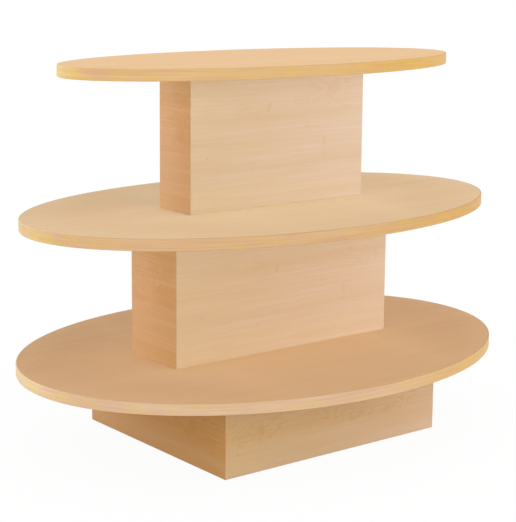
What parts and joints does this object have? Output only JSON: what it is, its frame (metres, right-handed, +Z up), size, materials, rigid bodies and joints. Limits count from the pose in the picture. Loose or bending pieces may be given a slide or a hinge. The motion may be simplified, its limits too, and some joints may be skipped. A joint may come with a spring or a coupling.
{
  "type": "tiered display table",
  "caption": "Oval maple-laminate shop display table with stacked shelves on slim box risers and a plinth, standing on levelling feet.",
  "frame": {"origin": "on the floor under the middle of the table, at the bottom centre of its box", "axes": "+X along the long axis of the oval shelves, +Y from front to back, +Z up"},
  "size_m": [1.524, 1.1239, 1.092],
  "materials": {
    "maple_laminate": "matt maple laminate on board",
    "maple_edge_band": "matt maple edge band",
    "batten_timber": "planed softwood",
    "zinc_steel": "zinc plated",
    "brass": "turned",
    "foot_plastic": "moulded nylon"
  },
  "bodies": {
    "table": {"bottom_shelf_board": "maple_laminate", "bottom_shelf_edge_band": "maple_edge_band", "foot_inserts": "zinc_steel", "lower_riser_back_panel": "maple_laminate", "lower_riser_batten_screws": "zinc_steel", "lower_riser_bolts": "zinc_steel", "lower_riser_bottom_batten_back": "batten_timber", "lower_riser_bottom_batten_front": "batten_timber", "lower_riser_front_panel": "maple_laminate", "lower_riser_inserts": "brass", "lower_riser_left_panel": "maple_laminate", "lower_riser_right_panel": "maple_laminate", "lower_riser_shelf_screws": "zinc_steel", "lower_riser_top_batten_back": "batten_timber", "lower_riser_top_batten_front": "batten_timber", "lower_riser_washers": "zinc_steel", "middle_shelf_board": "maple_laminate", "middle_shelf_edge_band": "maple_edge_band", "plinth_back_panel": "maple_laminate", "plinth_batten_back": "batten_timber", "plinth_batten_front": "batten_timber", "plinth_batten_screws": "zinc_steel", "plinth_front_panel": "maple_laminate", "plinth_left_panel": "maple_laminate", "plinth_post_back_left": "batten_timber", "plinth_post_back_right": "batten_timber", "plinth_post_front_left": "batten_timber", "plinth_post_front_right": "batten_timber", "plinth_post_screws": "zinc_steel", "plinth_right_panel": "maple_laminate", "plinth_shelf_screws": "zinc_steel", "plinth_stretcher": "maple_laminate", "top_shelf_board": "maple_laminate", "top_shelf_edge_band": "maple_edge_band", "upper_riser_back_panel": "maple_laminate", "upper_riser_batten_screws": "zinc_steel", "upper_riser_bolts": "zinc_steel", "upper_riser_bottom_batten_back": "batten_timber", "upper_riser_bottom_batten_front": "batten_timber", "upper_riser_front_panel": "maple_laminate", "upper_riser_inserts": "brass", "upper_riser_left_panel": "maple_laminate", "upper_riser_right_panel": "maple_laminate", "upper_riser_shelf_screws": "zinc_steel", "upper_riser_top_batten_back": "batten_timber", "upper_riser_top_batten_front": "batten_timber", "upper_riser_washers": "zinc_steel"},
    "foot_pad_front_left": {"foot_pad_front_left": "foot_plastic"},
    "foot_stud_front_left": {"foot_stud_front_left": "zinc_steel"},
    "foot_pad_front_right": {"foot_pad_front_right": "foot_plastic"},
    "foot_stud_front_right": {"foot_stud_front_right": "zinc_steel"},
    "foot_pad_back_left": {"foot_pad_back_left": "foot_plastic"},
    "foot_stud_back_left": {"foot_stud_back_left": "zinc_steel"},
    "foot_pad_back_right": {"foot_pad_back_right": "foot_plastic"},
    "foot_stud_back_right": {"foot_stud_back_right": "zinc_steel"}
  },
  "joints": [
    {"name": "foot_front_left_height", "type": "slide", "parent": "table", "child": "foot_pad_front_left", "axis": [0, 0, -1], "range_m": [0, 0.012]},
    {"name": "foot_front_left_screw", "type": "hinge", "parent": "foot_pad_front_left", "child": "foot_stud_front_left", "pos_m": [-0.341, -0.29, 0.0133], "axis": [0, 0, -1], "range_deg": [0, 3457]},
    {"name": "foot_front_right_height", "type": "slide", "parent": "table", "child": "foot_pad_front_right", "axis": [0, 0, -1], "range_m": [0, 0.012]},
    {"name": "foot_front_right_screw", "type": "hinge", "parent": "foot_pad_front_right", "child": "foot_stud_front_right", "pos_m": [0.341, -0.29, 0.0133], "axis": [0, 0, -1], "range_deg": [0, 3457]},
    {"name": "foot_back_left_height", "type": "slide", "parent": "table", "child": "foot_pad_back_left", "axis": [0, 0, -1], "range_m": [0, 0.012]},
    {"name": "foot_back_left_screw", "type": "hinge", "parent": "foot_pad_back_left", "child": "foot_stud_back_left", "pos_m": [-0.341, 0.29, 0.0133], "axis": [0, 0, -1], "range_deg": [0, 3457]},
    {"name": "foot_back_right_height", "type": "slide", "parent": "table", "child": "foot_pad_back_right", "axis": [0, 0, -1], "range_m": [0, 0.012]},
    {"name": "foot_back_right_screw", "type": "hinge", "parent": "foot_pad_back_right", "child": "foot_stud_back_right", "pos_m": [0.341, 0.29, 0.0133], "axis": [0, 0, -1], "range_deg": [0, 3457]}
  ],
  "couplings": [
    {"joint": "foot_front_left_screw", "follows": "foot_front_left_height", "rad_per_m": 5026.5},
    {"joint": "foot_front_right_screw", "follows": "foot_front_right_height", "rad_per_m": 5026.5},
    {"joint": "foot_back_left_screw", "follows": "foot_back_left_height", "rad_per_m": 5026.5},
    {"joint": "foot_back_right_screw", "follows": "foot_back_right_height", "rad_per_m": 5026.5}
  ]
}
